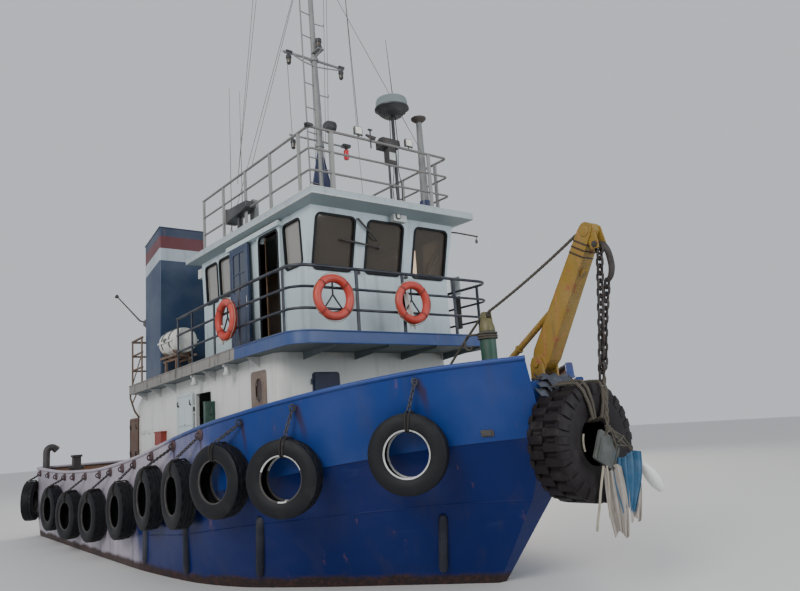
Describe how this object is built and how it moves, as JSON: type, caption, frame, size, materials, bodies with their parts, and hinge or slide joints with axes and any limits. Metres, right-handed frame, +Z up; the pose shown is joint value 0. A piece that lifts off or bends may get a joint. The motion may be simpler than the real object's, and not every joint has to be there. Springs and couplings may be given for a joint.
{
  "type": "harbour tugboat",
  "caption": "Blue steel harbour tug with a raised wheelhouse, tall mast, paired funnels, tyre fenders along the sides and a leaning boom at the bow.",
  "frame": {"origin": "on the centreline at the waterline, close to amidships, 6.8 m abaft the point where the stem meets the water", "axes": "+X to the bow, +Y to port, +Z up; the waterline is the plane Z = 0"},
  "size_m": [17.6943, 7.0092, 15.1009],
  "materials": {
    "hull_blue": "painted",
    "bulwark_blue": "painted",
    "deckhouse_white": "painted",
    "deck_grey": "painted",
    "door_white": "painted",
    "door_brown": "rusty",
    "wheelhouse_white": "painted",
    "door_blue": "painted",
    "console_wood": "varnished",
    "funnel_blue": "painted",
    "rail_dark": "painted",
    "rail_grey": "painted",
    "mast_grey": "painted",
    "radar_white": "satin",
    "raft_white": "satin",
    "ring_orange": "matte",
    "tyre_rubber": "matte",
    "boom_yellow": "painted",
    "post_green": "painted",
    "chain_steel": "rusty",
    "bronze": "satin",
    "red_lead": "matte"
  },
  "bodies": {
    "tug": {"hull": "hull_blue", "bulwark_starboard": "bulwark_blue", "bulwark_port": "bulwark_blue", "bulwark_stern": "bulwark_blue", "deckhouse_front": "deckhouse_white", "deckhouse_starboard": "deckhouse_white", "deckhouse_port": "deckhouse_white", "deckhouse_aft": "deckhouse_white", "bridge_deck": "deck_grey", "wheelhouse_front": "wheelhouse_white", "wheelhouse_starboard": "wheelhouse_white", "wheelhouse_port": "wheelhouse_white", "wheelhouse_aft": "wheelhouse_white", "wheelhouse_roof": "wheelhouse_white", "steering_stand": "console_wood", "funnel_starboard": "funnel_blue", "funnel_port": "funnel_blue", "bridge_rail": "rail_dark", "roof_rail": "rail_grey", "vent_post": "rail_grey", "mast": "mast_grey", "radar": "radar_white", "life_raft": "raft_white", "life_ring_front_starboard": "ring_orange", "life_ring_front_port": "ring_orange", "life_ring_side": "ring_orange", "tyre_starboard_1": "tyre_rubber", "tyre_port_1": "tyre_rubber", "tyre_starboard_2": "tyre_rubber", "tyre_port_2": "tyre_rubber", "tyre_starboard_3": "tyre_rubber", "tyre_port_3": "tyre_rubber", "tyre_starboard_4": "tyre_rubber", "tyre_port_4": "tyre_rubber", "tyre_starboard_5": "tyre_rubber", "tyre_port_5": "tyre_rubber", "tyre_starboard_6": "tyre_rubber", "tyre_port_6": "tyre_rubber", "tyre_starboard_7": "tyre_rubber", "tyre_port_7": "tyre_rubber", "tyre_starboard_8": "tyre_rubber", "tyre_port_8": "tyre_rubber", "tyre_starboard_9": "tyre_rubber", "tyre_port_9": "tyre_rubber", "tyre_starboard_10": "tyre_rubber", "tyre_port_10": "tyre_rubber", "bow_tyre": "tyre_rubber", "king_post": "post_green"},
    "boom": {"boom": "boom_yellow"},
    "boom_chain": {"boom_chain": "chain_steel"},
    "deckhouse_door_starboard": {"deckhouse_door_starboard": "door_white"},
    "deckhouse_door_port": {"deckhouse_door_port": "door_white"},
    "deckhouse_door_aft": {"deckhouse_door_aft": "door_brown"},
    "wheelhouse_door_starboard": {"wheelhouse_door_starboard": "door_blue"},
    "wheelhouse_door_port": {"wheelhouse_door_port": "door_blue"},
    "propeller_starboard": {"propeller_starboard": "bronze"},
    "propeller_port": {"propeller_port": "bronze"},
    "rudder_starboard": {"rudder_starboard": "red_lead"},
    "rudder_port": {"rudder_port": "red_lead"},
    "towing_hook": {"towing_hook": "chain_steel"}
  },
  "joints": [
    {"name": "boom_luff", "type": "hinge", "parent": "tug", "child": "boom", "pos_m": [7.93, 0, 2.93], "axis": [0, 1, 0], "range_deg": [0, 28]},
    {"name": "chain_hang", "type": "hinge", "parent": "boom", "child": "boom_chain", "pos_m": [9.03, 0, 4.33], "axis": [0, -1, 0], "range_deg": [0, 28]},
    {"name": "deckhouse_door_starboard_hinge", "type": "hinge", "parent": "tug", "child": "deckhouse_door_starboard", "pos_m": [0.43, -1.905, 0], "axis": [0, 0, 1], "range_deg": [0, 180]},
    {"name": "deckhouse_door_port_hinge", "type": "hinge", "parent": "tug", "child": "deckhouse_door_port", "pos_m": [0.43, 1.905, 0], "axis": [0, 0, -1], "range_deg": [0, 180]},
    {"name": "deckhouse_door_aft_hinge", "type": "hinge", "parent": "tug", "child": "deckhouse_door_aft", "pos_m": [-3.55, -1.905, 0], "axis": [0, 0, -1], "range_deg": [0, 110]},
    {"name": "wheelhouse_door_starboard_slide", "type": "slide", "parent": "tug", "child": "wheelhouse_door_starboard", "axis": [1, 0, 0], "range_m": [0, 1.1]},
    {"name": "wheelhouse_door_port_slide", "type": "slide", "parent": "tug", "child": "wheelhouse_door_port", "axis": [1, 0, 0], "range_m": [0, 1.1]},
    {"name": "propeller_starboard_shaft", "type": "hinge", "parent": "tug", "child": "propeller_starboard", "pos_m": [-5.95, -1.25, -1.05], "axis": [1, 0, 0], "continuous": true},
    {"name": "propeller_port_shaft", "type": "hinge", "parent": "tug", "child": "propeller_port", "pos_m": [-5.95, 1.25, -1.05], "axis": [1, 0, 0], "continuous": true},
    {"name": "rudder_starboard_stock", "type": "hinge", "parent": "tug", "child": "rudder_starboard", "pos_m": [-6.9, -1.25, -1], "axis": [0, 0, 1], "range_deg": [-35, 35]},
    {"name": "rudder_port_stock", "type": "hinge", "parent": "tug", "child": "rudder_port", "pos_m": [-6.9, 1.25, -1], "axis": [0, 0, 1], "range_deg": [-35, 35]},
    {"name": "towing_hook_swivel", "type": "hinge", "parent": "tug", "child": "towing_hook", "pos_m": [-4.6, 0, 1.75], "axis": [0, 0, 1], "range_deg": [-30, 30]}
  ],
  "couplings": [
    {"joint": "chain_hang", "follows": "boom_luff", "ratio": 1},
    {"joint": "rudder_port_stock", "follows": "rudder_starboard_stock", "ratio": 1}
  ]
}
